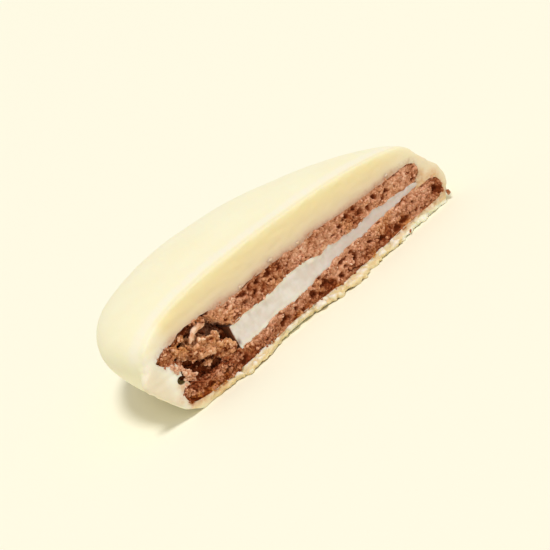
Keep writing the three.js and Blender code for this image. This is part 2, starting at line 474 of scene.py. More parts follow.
coat = whole_coat()
cut_open(coat, CUT)
add_lip(coat)
add_lumps(coat)
coat = modified(coat, "REMESH", mode="VOXEL", voxel_size=COAT_GRAIN)
for turn in range(MELTED):
    soften(coat, [v for v in coat.verts if v.co.z > 1.4 or v.co.y > CUT + 0.6 or turn < LIP_MELTED])
for turn in range(END_MELTED):
    drawn = 0.13 * turn
    soften(coat, [v for v in coat.verts if v.co.x < -18.5 - drawn and v.co.z > 6 + drawn and v.co.y < 3])

# The dome swells and dips slowly, and the knife's drag shows on the cut. Then the torn edge is drawn out, the
# lip gets its knobs, and its edge is chipped.
coat.normal_update()
for v in coat.verts:
    slow = 0.1 * noise.noise(v.co * 0.16) + 0.03 * noise.noise(v.co * 0.5)
    near_cut = smooth(CUT + 0.6, CUT + 0.1, v.co.y)
    drag = 0.07 * noise.noise(Vector((v.co.x * 0.5, 0, v.co.z * 1.6)))
    v.co += v.normal * (slow * (1 - near_cut) + drag * near_cut) * smooth(0.1, 0.8, v.co.z)
    v.co.x -= along(v.co.z, DRAWN_OUT) * smooth(CUT + 2.2, CUT + 0.5, v.co.y) * smooth(-21, -25, v.co.x)
    v.co += v.normal * (0.4 * knob_at(v.co) - 0.16) * lip_at(v.co)
    v.co.z = max(0, v.co.z)
    lift = along(v.co.x, CHIPPED) * smooth(CUT + 0.9, CUT, v.co.y) * smooth(1.6, 0, v.co.z)
    v.co.z += lift * (1 + 0.5 * noise.noise(Vector((v.co.x * 1.9, 1, 0))))


# The room that each layer of the filling takes up in the coat is a hair tighter than the layer, so no gap
# shows. The cream's room runs into the biscuits' rooms.
SNUG = 0.16
RUNS_IN = 0.5


def room(middle, radius, floor_at, roof_at, tucked=0):
    """A layer's room. Its front stands well out of the cut, so that it opens there."""
    out, step, rows = 5, 0.25, 8
    back = rim(middle, radius - SNUG, tucked)
    left, right = back[-1].x, back[0].x
    count = round((right - left) / step)
    front = [Vector((left + (right - left) * i / count, CUT - out, 0)) for i in range(count + 1)]
    return layer(front, back, rows, lambda x: floor_at(x) + SNUG, lambda x: roof_at(x) - SNUG, middle,
                 BISCUIT_ROUND)


def torn_room():
    """The hollow's walls: a boxy egg with rough sides."""
    middle, half, height, half_height = -17.2, 4.3, 6.2, 3.45
    bm = bmesh.new()
    for v in add_egg(bm, (0, 0, 0), (1, 1, 1), detail=6):
        boxy = sum(abs(c) ** 4 for c in v.co) ** -0.25
        rough = 1 + 0.07 * noise.noise(v.co * 2.3) + 0.05 * noise.noise(v.co * 6)
        v.co = v.co * boxy * rough
        v.co = placed(middle + half * v.co.x, HOLLOW_DEEP * v.co.y, height + half_height * v.co.z)
    return bm


# An air bubble in the torn wall, and a tiny one at the cream's thin end: place and half sizes.
BUBBLES = (((-21.9, 0.2, 4.7), (0.6, 1.5, 0.55)), ((20.35, 0.2, 4.95), (0.24, 1.0, 0.2)))
bubbles = bmesh.new()
for at, half in BUBBLES:
    add_egg(bubbles, placed(*at), half, (0, 20, -20))
for tool in (room(TOP_MIDDLE, TOP_RADIUS, top_floor, top_roof),
             room(BOTTOM_MIDDLE, BOTTOM_RADIUS, bottom_floor, bottom_roof, BISCUIT_TUCKED),
             room(CREAM_MIDDLE, CREAM_RADIUS, lambda x: bottom_roof(x) - RUNS_IN,
                  lambda x: top_floor(x) + RUNS_IN),
             torn_room(), bubbles):
    coat = without(coat, tool)

# Angular chips of broken chocolate along the coat's edge over the top biscuit: place, half sizes and turn.
CHIPS = (((1.2, -0.05, 8.8), (0.34, 0.22, 0.2), (0, 20, 0)),
         ((-3.4, -0.02, 9.35), (0.5, 0.15, 0.16), (0, 8, 0)),
         ((-8.9, -0.02, 9.2), (0.35, 0.15, 0.14), (0, -12, 0)),
         ((17.0, -0.02, 8.1), (0.3, 0.15, 0.14), (0, 5, 0)))
for number, (at, half, turn) in enumerate(CHIPS):
    for v in add_egg(coat, placed(*at), half, turn, detail=2):
        v.co = v.co + 1.1 * min(half) * noise.noise_vector(v.co * 3.1 + Vector((number, 0, 0)))


class Wire:
    """A value, a colour or a vector on its way through a material's nodes."""

    def __init__(self, tree, socket=None):
        self.tree = tree
        self.socket = socket

    def node(self, kind, settings, inputs, output=0):
        made = self.tree.nodes.new(kind)
        for name, value in settings.items():
            if name == "stops":
                ramp = made.color_ramp.elements
                while len(ramp) < len(value):
                    ramp.new(0.5)
                for stop, (place, colour) in zip(ramp, value):
                    stop.position = place
                    stop.color = (*colour, 1)
            else:
                setattr(made, name, value)
        for name, value in inputs.items():
            if isinstance(value, Wire):
                self.tree.links.new(value.socket, made.inputs[name])
            else:
                made.inputs[name].default_value = value
        return Wire(self.tree, made.outputs[output])

    def math(self, operation, *values, clamp=False):
        settings = {"operation": operation, "use_clamp": clamp}
        return self.node("ShaderNodeMath", settings, dict(enumerate(values)))

    def __add__(self, other):
        return self.math("ADD", self, other)

    __radd__ = __add__

    def __mul__(self, other):
        return self.math("MULTIPLY", self, other)

    __rmul__ = __mul__

    def __sub__(self, other):
        return self.math("SUBTRACT", self, other)

    def __rsub__(self, other):
        return self.math("SUBTRACT", other, self)

    def clamped(self):
        return self.math("ADD", self, 0, clamp=True)

    def between(self, low, high):
        return self.node("ShaderNodeMapRange", {"interpolation_type": "SMOOTHSTEP"},
                         {"Value": self, "From Min": low, "From Max": high})

    def ramp(self, stops):
        return self.node("ShaderNodeValToRGB", {"stops": stops}, {"Fac": self})

    def blend(self, one, other):
        """The first colour where this is 0, the other where it is 1."""
        return self.node("ShaderNodeMix", {"data_type": "RGBA"}, {0: self, 6: one, 7: other}, output=2)


def new_finish(name, **constants):
    """A material, the start of its wiring and its surface node, with the constants set on the surface."""
    material = bpy.data.materials.new(name)
    material.use_nodes = True
    tree = material.node_tree
    surface = next(n for n in tree.nodes if n.type == "BSDF_PRINCIPLED")
    for socket, value in constants.items():
        surface.inputs[socket.replace("_", " ")].default_value = value
    return material, Wire(tree), surface


def rgb(red, green, blue):
    """A colour as seen on a screen, 0 to 255, turned to light values."""
    def light(value):
        value /= 255
        return value / 12.92 if value <= 0.04045 else ((value + 0.055) / 1.055) ** 2.4
    return (light(red), light(green), light(blue))


def shade(colour):
    """A screen colour as a colour socket takes it."""
    return (*rgb(*colour), 1)


def mottled(wire, scale):
    """Soft unevenness on the piece's own coordinates, with its scale in grains to the millimetre."""
    place = wire.node("ShaderNodeTexCoord", {}, {}, output=3)
    return wire.node("ShaderNodeTexNoise", {}, {"Vector": place, "Scale": scale / MM})


def kept_value(wire, name):
    """A value that the mesh keeps for each of its points."""
    return wire.node("ShaderNodeAttribute", {"attribute_name": name}, {}, output=2)


def plug(surface, socket, wire):
    wire.tree.links.new(wire.socket, surface.inputs[socket])


def plug_bump(surface, height, strength, distance):
    """Makes the height stand out of the surface. The distance is in metres."""
    inputs = {"Strength": strength, "Distance": distance, "Height": height}
    plug(surface, "Normal", height.node("ShaderNodeBump", {}, inputs))


# The cut face from the biscuit's dusty edge, 0, up to the crest, 1. Beside the real cocoa dust at the
# biscuit's edge, its deep yellow is painted shade, for a face turned from the lamp, and is carried over the
# rounded crest.
BAND = ((0.0, (214, 174, 148)), (0.08, (226, 196, 168)), (0.18, (231, 209, 178)), (0.32, (238, 218, 180)),
        (0.6, (244, 225, 178)), (0.78, (247, 230, 180)), (0.9, (246, 232, 186)), (1.0, (243, 231, 193)))

# The coat's other colours, each named for its place or for the light or shade painted into it.
IVORY = (255, 246, 212)
IVORY_DEEP = (255, 243, 206)
IVORY_HIGHLIGHT = (254, 244, 218)
TORN_WALL = (254, 248, 232)
PALE_END = (247, 236, 204)
TORN_WALL_SHADE = (240, 228, 204)
COCOA_DUST = (176, 120, 88)
COCOA_GLOW = (216, 148, 76)
LIP_LIT = (254, 249, 234)
LIP_SHADED = (238, 216, 165)
HOLLOW_CRUMB_SHADE = (118, 62, 34)
BUBBLE_SHADE = (176, 160, 104)
FOOT_LIT = (255, 250, 222)

white_chocolate, wire, surface = new_finish(
    "white_chocolate", Subsurface_Weight=0.35, Subsurface_Scale=0.0012, IOR=1.45, Specular_IOR_Level=0.35)
surface.inputs["Subsurface Radius"].default_value = (1.0, 0.75, 0.4)
cut_share = kept_value(wire, "cut")
cloud = mottled(wire, 0.12)
skin = cloud.between(0.3, 0.7).blend(shade(IVORY), shade(IVORY_DEEP))
# A painted highlight on the dome just behind the crest.
skin = kept_value(wire, "edge").blend(skin, shade(IVORY_HIGHLIGHT))
# The cut face's band, with its painted shade.
band = kept_value(wire, "above").ramp([(place, rgb(*colour)) for place, colour in BAND])
# The torn wall, with painted shade on its outer part.
wall = kept_value(wire, "outer").blend(shade(TORN_WALL), shade(TORN_WALL_SHADE))
colour = kept_value(wire, "torn").blend(band, wall)
colour = kept_value(wire, "thin").blend(colour, shade(PALE_END))
colour = cut_share.blend(skin, colour)
speckle = 0.25 + 0.75 * mottled(wire, 2.6).between(0.35, 0.7)
# The lip's knobs, with painted light on their tops and painted shade in the gaps between them.
lip = kept_value(wire, "lip_crest").blend(shade(LIP_SHADED), shade(LIP_LIT))
colour = kept_value(wire, "lip").blend(colour, lip)
colour = (kept_value(wire, "glow") * (0.5 + 0.5 * speckle)).blend(colour, shade(COCOA_GLOW))
# Painted light on the foot at the thin end.
colour = kept_value(wire, "foot").blend(colour, shade(FOOT_LIT))
colour = (kept_value(wire, "dust") * speckle).blend(colour, shade(COCOA_DUST))
# Crumb, and painted shade, on the torn hollow's walls.
colour = kept_value(wire, "hollow").blend(colour, shade(HOLLOW_CRUMB_SHADE))
# Painted shade inside the air bubbles.
colour = kept_value(wire, "bubble").blend(colour, shade(BUBBLE_SHADE))
plug(surface, "Base Color", colour)
plug(surface, "Roughness", 0.42 + 0.2 * cut_share + 0.08 * mottled(wire, 0.6))
plug_bump(surface, mottled(wire, 2.5), 0.12, 0.2 * MM)


def keep(bm, name, value_at):
    """Writes a value for each point of the mesh, for its material to read."""
    values = bm.verts.layers.float.new(name)
    for v in bm.verts:
        v[values] = value_at(v.co)


# The values that the coat's material reads, each from 0 to 1 at a point of the coat.


def cut_at(p):
    """The cut face, above the lip. It fades out over the rounded crease behind it, carrying the band's
    painted shade there.
    """
    return smooth(CUT + 1.4, CUT + 0.3, p.y) * smooth(0.9, 1.3, p.z)


def crest_highlight_at(p):
    """The dome just behind the cut's upper edge, where a painted highlight runs along the crest."""
    return smooth(CUT + 0.7, CUT + 1.6, p.y) * smooth(CUT + 4, CUT + 2.4, p.y) * smooth(8, 10, p.z)


def crest_at(x):
    """The dome's height over the cut."""
    share = min(0.999, math.hypot(x, CUT) / COAT_RADIUS)
    waist = WAIST - WAIST_LEAN * x
    return waist + (1 - share ** DOME_POWER) ** (1 / DOME_POWER) * (CROWN - CROWN_LEAN * x - waist)


def above_at(p):
    """How far up the cut a point is, from the top biscuit to the crest."""
    roof = top_roof(p.x)
    return min(1, max(0, (p.z - roof) / max(1, crest_at(p.x) - roof)))


def torn_at(p):
    """The torn wall at the thick end."""
    return smooth(-20, -22.5, p.x) * (0.5 + 0.5 * smooth(10.4, 8.0, p.z))


def thin_at(p):
    """The pale coat at the cream's thin end."""
    return 0.8 * smooth(16, 22.5, p.x)


def from_biscuit(p, middle, radius, floor_at, roof_at):
    """How far a point of the cut is outside a biscuit, in millimetres."""
    past = max(0, math.hypot(p.x - middle, CUT) - radius + 0.7)
    return math.hypot(past, max(0, floor_at(p.x) + 0.2 - p.z, p.z - roof_at(p.x) + 0.2))


def dust_at(p):
    """Cocoa dust that the knife drew onto the coat round the top biscuit."""
    over = from_biscuit(p, TOP_MIDDLE, TOP_RADIUS, top_floor, top_roof)
    return smooth(0.9, 0.2, over) * (0.4 if p.x > -18 else 0.3) * smooth(CUT + 0.5, CUT + 0.2, p.y)


def hollow_crumb_shade_at(p):
    """The walls of the torn hollow, painted dark brown: partly crumb on them, partly painted shade of the
    hollow.
    """
    within = smooth(-22.3, -21.6, p.x) * smooth(-12.2, -12.9, p.x) * smooth(CUT + 0.2, CUT + 0.7, p.y)
    return within * smooth(CUT + 7, CUT + 6, p.y) * smooth(10.2, 9.8, p.z) * smooth(2.2, 2.8, p.z)


def bubble_shade_at(p):
    """The walls of the air bubbles, painted dark olive as painted shade."""
    near = 0
    for at, half in BUBBLES:
        away = p - placed(*at)
        near = max(near, smooth(1.5, 1.25, math.hypot(away.x / half[0], away.z / half[2])))
    return near * smooth(CUT + 0.15, CUT + 0.4, p.y) * smooth(3, 2.5, p.y)


def lip_lit_at(p):
    """Painted light on the lip's knobs: their tops are painted pale as if lit, the gaps between them darker
    as painted shade.
    """
    return smooth(0.35, 0.95, 0.7 * p.z + 0.5 * knob_at(p))


def torn_shade_at(p):
    """The torn wall's outer part, darkened with painted shade where it turns down and away from the lamp."""
    return smooth(-22.6, -24.6, p.x) * smooth(9.2, 7.6, p.z)


# The height up to which the coat's foot under the bottom biscuit's thin end is painted pale, as painted
# light, at places along the cut.
LIT_FOOT_LINE = ((13, 0.0), (15, 0.5), (18.5, 0.8), (21, 0.6), (23.5, 0.35))


def lit_foot_at(p):
    """The foot at the thin end, painted near-white as painted light, as bright as the lit table behind it."""
    line = along(p.x, LIT_FOOT_LINE)
    return smooth(13, 15, p.x) * smooth(line + 0.1, line - 0.15, p.z) * smooth(CUT + 0.8, CUT + 0.3, p.y)


def glow_at(p):
    """Where light comes through the coat from the bottom biscuit, and from three small places."""
    over = from_biscuit(p, BOTTOM_MIDDLE, BOTTOM_RADIUS, bottom_floor, bottom_roof)
    ends = max(smooth(12, 17, p.x), smooth(-17, -20.5, p.x))
    small = 0.5 * smooth(1.4, 0.3, math.hypot(p.x - 21.5, p.z - 5.2))
    small += 0.4 * smooth(1.2, 0.3, math.hypot(p.x + 23.1, p.z - 2.7))
    small += 0.6 * smooth(1, 0.2, math.hypot((p.x + 17.6) / 1.8, p.z - 0.7))
    around = smooth(1.2 + 0.2 * ends, 0.1, over) * (0.18 + 0.5 * ends)
    return max(around, small) * smooth(CUT + 0.5, CUT + 0.2, p.y)


# The foot of the coat's axis, in metres, from the boxes of two CAD parts. The cream's front lies in the cut.
AXIS_FROM_BISCUIT = 0.6
biscuit_low, biscuit_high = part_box("top_biscuit")
axis_foot = Vector(((biscuit_low.x + biscuit_high.x) / 2 + AXIS_FROM_BISCUIT * MM,
                    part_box("cream")[0].y - CUT * MM, 0))


def piece(name, bm, material, sharp=50):
    """An object in metres from a mesh that was worked in millimetres about the coat's axis."""
    bm.transform(Matrix.Translation(axis_foot) @ Matrix.Scale(MM, 4))
    mesh = new_mesh(name, bm)
    mesh.shade_smooth()
    mesh.set_sharp_from_angle(angle=math.radians(sharp))
    mesh.materials.append(material)
    return new_object(name, mesh)


for name, value_at in (("cut", cut_at), ("edge", crest_highlight_at), ("above", above_at), ("torn", torn_at),
                       ("outer", torn_shade_at), ("thin", thin_at), ("lip", lip_at), ("lip_crest", lip_lit_at),
                       ("glow", glow_at), ("foot", lit_foot_at), ("dust", dust_at), ("hollow", hollow_crumb_shade_at),
                       ("bubble", bubble_shade_at)):
    keep(coat, name, value_at)
chocolate_coat = piece("chocolate_coat", coat, white_chocolate)
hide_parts("coating")
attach(chocolate_coat, "root")


# ---------------------------------------------------------------- biscuits
# Two thin cocoa biscuits, dry and porous. The knife tore their crumb, so the cut is a rough face of grains
# and pits. At the thick end the top biscuit broke away.

# The cut has points this far apart along it, and this many rows of them up the biscuit.
CRUMB_STEP = 0.085
CRUMB_ROWS = 32


def on_cut(p):
    return p.y < CUT + 0.05


def torn_crumb(at):
    """How far torn crumb stands out at a point, and its tone, 0 in a pit to 1 on a pale grain."""
    at = at + 0.3 * noise.noise_vector(at * 1.3)
    near, seeds = noise.voronoi(at * 1.5)
    seam = smooth(0.16, 0.0, near[1] - near[0])
    lump = noise.cell(seeds[0] * 7.3)
    small, grains = noise.voronoi(at * 3.6)
    nick = smooth(0.22, 0.0, small[1] - small[0])
    grain = noise.cell(grains[0] * 5.9)
    broad = noise.noise(at * 0.45 + Vector((3, 0, 7)))
    pit = smooth(0.36, 0.6, noise.noise(Vector((at.x * 0.8, at.y * 1.2, at.z * 1.4)) * 1.6))
    deep = smooth(0.42, 0.6, noise.noise(Vector((at.x * 0.7, at.y, at.z * 1.3)) * 0.9 + Vector((9, 2, 5))))
    stain = noise.noise(at * 0.33 + Vector((1, 8, 4))) + 0.6 * noise.noise(at * 0.9 + Vector((6, 1, 9)))
    height = 0.14 * broad + 0.1 * lump - 0.1 * seam + 0.06 * grain - 0.05 * nick - 0.3 * pit - 0.4 * deep
    # The tone: the crumb's own grains and stains, with painted shade darkening its seams, nicks and pits.
    tone = 0.6 + 0.1 * lump + 0.12 * grain - 0.15 * seam - 0.12 * nick + 0.36 * stain
    tone = tone - 0.3 * pit - 0.25 * deep
    return height, min(1, max(0, tone))


def holed(at, holes):
    """How far a point is inside the larger holes, 0 to 1. Each has its place along the cut, height and
    size."""
    most = 0
    for x, z, size in holes:
        away = math.hypot((at.x - x) * 0.75, at.z - z) / size
        if away < 2:
            most = max(most, smooth(1.2, 0.5, away + 0.7 * noise.noise(at * 2.4)))
    return most * smooth(CUT + 0.8, CUT + 0.4, at.y)


def crumbled(bm, shown, dim_at, holes=(), inside_at=lambda p: 1, warmth_at=lambda p: 0, depth=1):
    """Roughens the faces that show, and keeps each point's tone. Pits grow shallow towards the outline."""
    bm.normal_update()
    tones = bm.verts.layers.float.new("tone")
    warmths = bm.verts.layers.float.new("scorch")
    moves = []
    for v in bm.verts:
        height, tone = torn_crumb(v.co)
        hole = holed(v.co, holes)
        # Holes are painted darker, as painted shade.
        v[tones] = max(0, tone - dim_at(v.co) - 0.45 * hole)
        v[warmths] = warmth_at(v.co)
        outward = Vector((0, -1, 0)) if holes and on_cut(v.co) else v.normal
        move = max(height - 0.6 * hole, -inside_at(v.co))
        moves.append(outward * depth * move if shown(v.co) else Vector())
    for v, move in zip(bm.verts, moves):
        v.co += move


def jitter(point, size, seed):
    return point + size * noise.noise_vector(point * 9.1 + Vector((seed, 0, 0)))


def add_grains(bm, shown, count, seed, dim_at):
    """Angular crumbs, half sunk in the torn face."""
    dice = random.Random(seed)
    loose = bmesh.new()
    tones = loose.verts.layers.float.new("tone")
    spots = sorted((v for v in bm.verts if shown(v.co)), key=lambda v: tuple(round(c, 3) for c in v.co))
    for number, spot in enumerate(dice.sample(spots, count)):
        size = dice.uniform(0.07, 0.13) + 0.14 * dice.random() ** 4
        half = [size * dice.uniform(0.7, 1.3) for axis in "xyz"]
        turn = [dice.uniform(0, 360) for axis in "xyz"]
        tone = dice.uniform(0.32, 0.7) + 0.25 * dice.random() ** 6 - dim_at(spot.co)
        at = spot.co + spot.normal * size * dice.uniform(-0.3, 0.5)
        for v in add_egg(loose, at, half, turn, detail=1):
            v.co = jitter(v.co, 0.5 * size, number)
            v[tones] = max(0, tone)
    mesh = new_mesh("grains", loose)
    bm.from_mesh(mesh)
    bpy.data.meshes.remove(mesh)


def biscuit(middle, radius, front, floor_at, roof_at, tucked=0):
    return layer(evenly(front, CRUMB_STEP), rim(middle, radius, tucked)[1:-1], CRUMB_ROWS, floor_at, roof_at,
                 middle, BISCUIT_ROUND)


def inside(middle, radius, floor_at, roof_at):
    """For a biscuit, how far a point of its cut is from its outline."""
    def inside_at(p):
        to_side = min(p.z - floor_at(p.x), roof_at(p.x) - p.z)
        return 0.02 + 0.8 * max(0, min(to_side, radius - 0.3 - math.hypot(p.x - middle, p.y)))
    return inside_at


def half_chord(radius):
    """Half the length of a round layer's cut."""
    return math.sqrt(radius ** 2 - CUT ** 2)


def on_torn_side(p):
    in_hollow = p.x < -10 and p.y < CUT + HOLLOW_DEEP + 0.3
    return in_hollow and math.hypot(p.x - TOP_MIDDLE, p.y) < TOP_RADIUS - 0.6


def torn_or_cut(p):
    return on_cut(p) or on_torn_side(p)


# The loose grains on each biscuit's cut: how many, and how far inside its outline they stay.
GRAINS = 700
GRAINS_IN = 0.12

# The top biscuit's torn end leans, so that its roof juts out over the hollow.
END_LEAN = 0.9
top_chord = half_chord(TOP_RADIUS)
top_front = torn_front(TOP_MIDDLE - top_chord, TOP_MIDDLE + top_chord, TORN_BISCUIT)
top = biscuit(TOP_MIDDLE, TOP_RADIUS, top_front, top_floor, top_roof)
for v in top.verts:
    middle_height = (top_floor(v.co.x) + top_roof(v.co.x)) / 2
    lean = END_LEAN * (middle_height - v.co.z)
    v.co.x += lean * smooth(TORN_BISCUIT + 4, TORN_BISCUIT + 0.6, v.co.x) * smooth(-19, -17, v.co.x)

# The larger holes: place along the cut, height and size.
TOP_HOLES = ((-4.4, 8.1, 0.42), (-6.3, 8.3, 0.36), (-8.8, 8.2, 0.45), (-7.2, 7.3, 0.25), (-11.5, 8.3, 0.3),
             (12.6, 6.3, 0.38), (14.1, 6.8, 0.4), (16.0, 6.5, 0.36), (10.6, 7.4, 0.3), (9.0, 7.3, 0.34),
             (7.6, 6.8, 0.3))
inside_top = inside(TOP_MIDDLE, TOP_RADIUS, top_floor, top_roof)


def top_dim(p):
    """How much darker than plain crumb the top biscuit is."""
    return 0.06 - 0.05 * smooth(4, 8, p.x) - 0.05 * smooth(0, -8, p.x) + 0.16 * smooth(-20, -21.5, p.x)


crumbled(top, torn_or_cut, top_dim, TOP_HOLES, lambda p: inside_top(p) if p.x > TORN_BISCUIT + 1 else 1)
add_grains(top, lambda p: torn_or_cut(p) and inside_top(p) > GRAINS_IN, GRAINS, 5, top_dim)


def bottom_dim(p):
    """The bottom biscuit is darker at the thick end, as painted shade under the torn hollow, and towards its
    floor.
    """
    above = p.z - bottom_floor(p.x)
    dim = -0.1 + 0.1 * smooth(8, 4, p.x) + 0.01 * smooth(-2, -5, p.x) + 0.33 * smooth(-12, -16, p.x)
    dim += 0.4 * smooth(-12.5, -15, p.x) * noise.noise(Vector((p.x * 0.9, 7, p.z * 1.2)))
    golden = smooth(-14, -15.5, p.x) * smooth(-20.5, -19, p.x)
    blotch = 0.05 * noise.noise(Vector((p.x * 0.6, 4, above)))
    dim += (0.22 - 0.34 * golden) * smooth(1.9, 0.6, above) + blotch
    dim += 0.32 * smooth(1.5, 0.3, math.hypot((p.x - 22.9) * 1.2, (p.z - 2.6) * 0.8))
    return dim + 0.3 * smooth(CUT + 0.05, CUT + 0.2, p.y)


def bottom_warmth(p):
    """Where the bottom biscuit turns a warmer brown: in patches along its floor, and by its floor at the
    thick end.
    """
    above = p.z - bottom_floor(p.x)
    patch = smooth(-0.1, 0.4, noise.noise(Vector((p.x * 0.45, 2, 0))))
    return max(patch * smooth(1, 0.1, above), smooth(-14, -16, p.x) * smooth(1.7, 0.4, above))


bottom_chord = half_chord(BOTTOM_RADIUS)
bottom_front = [Vector((BOTTOM_MIDDLE + way * bottom_chord, CUT, 0)) for way in (-1, 1)]
BOTTOM_HOLES = ((7.6, 2.5, 0.42), (2.0, 2.4, 0.5), (-0.2, 2.2, 0.42), (16.5, 2.0, 0.5), (14.9, 1.7, 0.42),
                (22.6, 2.6, 0.4), (12.3, 2.1, 0.36), (10.4, 2.6, 0.28), (4.6, 1.6, 0.3), (-3.2, 2.3, 0.3),
                (-5.4, 2.1, 0.36), (-9.0, 1.6, 0.3), (-13.0, 1.5, 0.4), (-15.8, 1.9, 0.45), (-18.6, 1.9, 0.5))
inside_bottom = inside(BOTTOM_MIDDLE, BOTTOM_RADIUS, bottom_floor, bottom_roof)
bottom = biscuit(BOTTOM_MIDDLE, BOTTOM_RADIUS, bottom_front, bottom_floor, bottom_roof, BISCUIT_TUCKED)
crumbled(bottom, on_cut, bottom_dim, BOTTOM_HOLES, inside_bottom, bottom_warmth)
add_grains(bottom, lambda p: on_cut(p) and inside_bottom(p) > GRAINS_IN, GRAINS, 6, bottom_dim)

# The crumb from the dark of a pit, 0, to a pale grain, 1, and the same where it is warmer. Much of the dark
# end is painted shade in pits, seams and holes.
COCOA = ((0.0, (126, 56, 24)), (0.22, (162, 92, 56)), (0.42, (196, 134, 98)), (0.6, (218, 158, 124)),
         (0.8, (236, 184, 152)), (1.0, (250, 214, 188)))
COCOA_WARM = ((0.0, (136, 60, 16)), (0.22, (176, 100, 42)), (0.42, (212, 144, 80)), (0.6, (230, 168, 106)),
              (0.8, (240, 190, 142)), (1.0, (252, 220, 182)))

cocoa_crumb, wire, surface = new_finish("cocoa_crumb", IOR=1.4, Specular_IOR_Level=0.15, Roughness=0.9)
speck = mottled(wire, 3.5)
tone = (kept_value(wire, "tone") + 0.3 * (speck - 0.5)).clamped()
cloud = mottled(wire, 0.35)
warm = (0.32 * cloud.between(0.5, 0.7) + kept_value(wire, "scorch")).clamped()
plain = tone.ramp([(place, rgb(*colour)) for place, colour in COCOA])
warm_crumb = tone.ramp([(place, rgb(*colour)) for place, colour in COCOA_WARM])
plug(surface, "Base Color", warm.blend(plain, warm_crumb))
plug_bump(surface, speck, 0.5, 0.1 * MM)

for name, bm, node in (("biscuit_top", top, "top_biscuit"), ("biscuit_bottom", bottom, "bottom_biscuit")):
    bmesh.ops.triangulate(bm, faces=[f for f in bm.faces if len(f.verts) > 4])
    layer_piece = piece(name, bm, cocoa_crumb, sharp=60)
    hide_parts(node)
    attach(layer_piece, "root")


# ---------------------------------------------------------------- cream
# A wedge of set sugar cream between the biscuits, off-white and smooth. It was piped off the middle, so it is
# thick at one end, where it broke off bluntly, and nearly nothing at the other.

CREAM_STEP = 0.15
CREAM_ROWS = 14
CREAM_ROUND = 1.3

# The cream sinks this far into the biscuits' pores.
SUNK = 0.12

cream_chord = half_chord(CREAM_RADIUS)
cream_front = torn_front(CREAM_MIDDLE - cream_chord, CREAM_MIDDLE + cream_chord, TORN_CREAM)
cream_rim = [p for p in rim(CREAM_MIDDLE, CREAM_RADIUS)[1:] if p.x > 0 or p.y > CUT + HOLLOW_DEEP]
cream = layer(evenly(cream_front, CREAM_STEP), cream_rim, CREAM_ROWS, lambda x: bottom_roof(x) - SUNK,
              lambda x: top_floor(x) + SUNK, CREAM_MIDDLE, CREAM_ROUND)
cream.normal_update()
for v in cream.verts:
    drag = 0.12 * noise.noise(Vector((v.co.x * 0.9, 0, v.co.z * 0.7))) + 0.05 * noise.noise(v.co * 2.2)
    if v.co.y < CUT + HOLLOW_DEEP:
        v.co += v.normal * (drag - 0.05)


def rim_light_at(p):
    """The bright edges of the cream, above and below."""
    above = smooth(0.55, 0.15, top_floor(p.x) - p.z) * smooth(6, 2, p.x)
    below = smooth(0.5, 0.15, p.z - bottom_roof(p.x)) * smooth(0, -3, p.x)
    return max(above, below)


# Towards the thin end the cream is darker and pinker, partly as painted shade from the biscuits close over
# it.
keep(cream, "thin", lambda p: smooth(-4, 10, p.x))
keep(cream, "rim_light", rim_light_at)
# The cream's torn end in the hollow is painted crumb brown: partly crumb, partly painted shade of the gap
# there.
keep(cream, "crumby", lambda p: smooth(CUT + 0.03, CUT + 0.2, p.y) * smooth(-12.0, -12.5, p.x))
bmesh.ops.triangulate(cream, faces=[f for f in cream.faces if len(f.verts) > 4])

CREAM_THICK = (238, 230, 224)
CREAM_BLOTCH = (228, 217, 207)
CREAM_THIN_SHADED = (217, 201, 194)
CREAM_BRIGHT = (248, 240, 224)
CREAM_CRUMB_SHADE = (120, 72, 44)
sugar_cream, wire, surface = new_finish(
    "sugar_cream", Subsurface_Weight=0.2, Subsurface_Scale=0.0008, Roughness=0.6)
blotch = mottled(wire, 0.7).between(0.35, 0.65)
thick = blotch.blend(shade(CREAM_THICK), shade(CREAM_BLOTCH))
# Darker and pinker towards the thin end, partly painted shade.
clean = kept_value(wire, "thin").blend(thick, shade(CREAM_THIN_SHADED))
clean = (0.7 * kept_value(wire, "rim_light")).blend(clean, shade(CREAM_BRIGHT))
# The torn end, painted crumb brown: partly crumb, partly painted shade.
plug(surface, "Base Color", kept_value(wire, "crumby").blend(clean, shade(CREAM_CRUMB_SHADE)))
plug_bump(surface, mottled(wire, 4), 0.25, 0.1 * MM)

cream_wedge = piece("cream_wedge", cream, sugar_cream)
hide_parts("cream")
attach(cream_wedge, "root")


# ---------------------------------------------------------------- broken bits
# What broke off the top biscuit at the thick end: a lump that slid down into the cream's place, a pale
# splinter above it and a flake on the torn wall. Behind them the hollow is packed with crumb.

